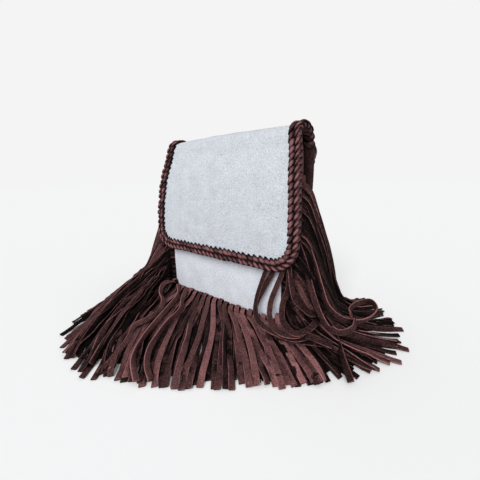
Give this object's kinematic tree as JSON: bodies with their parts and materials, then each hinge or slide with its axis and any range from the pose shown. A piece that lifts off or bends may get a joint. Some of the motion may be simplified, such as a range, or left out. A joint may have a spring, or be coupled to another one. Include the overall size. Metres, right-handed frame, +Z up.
{
  "type": "fringe shoulder bag",
  "caption": "Small suede shoulder bag with a full front flap, laced edges and a long strip fringe round its front panel that spreads over the floor.",
  "frame": {"origin": "middle of the bag's flat bottom face, on the floor", "axes": "+X to the viewer's right when facing the flap, -Y out of the front flap, +Z up"},
  "size_m": [0.454, 0.3441, 0.2514],
  "materials": {
    "pale_suede": "pale blue-grey suede, matt, fine nap",
    "brown_suede": "dark brown suede strips, matt",
    "brown_lace": "dark brown lacing leather, slight sheen",
    "dark_suede": "very dark brown suede, matt"
  },
  "bodies": {
    "root": {"back_and_flap": "pale_suede", "front_panel": "pale_suede", "gusset": "dark_suede", "edge_lacing": "brown_lace", "fringe_left": "brown_suede", "fringe_front": "brown_suede", "fringe_right": "brown_suede", "strap_knot_left": "brown_lace", "strap_knot_right": "brown_lace"}
  },
  "joints": []
}
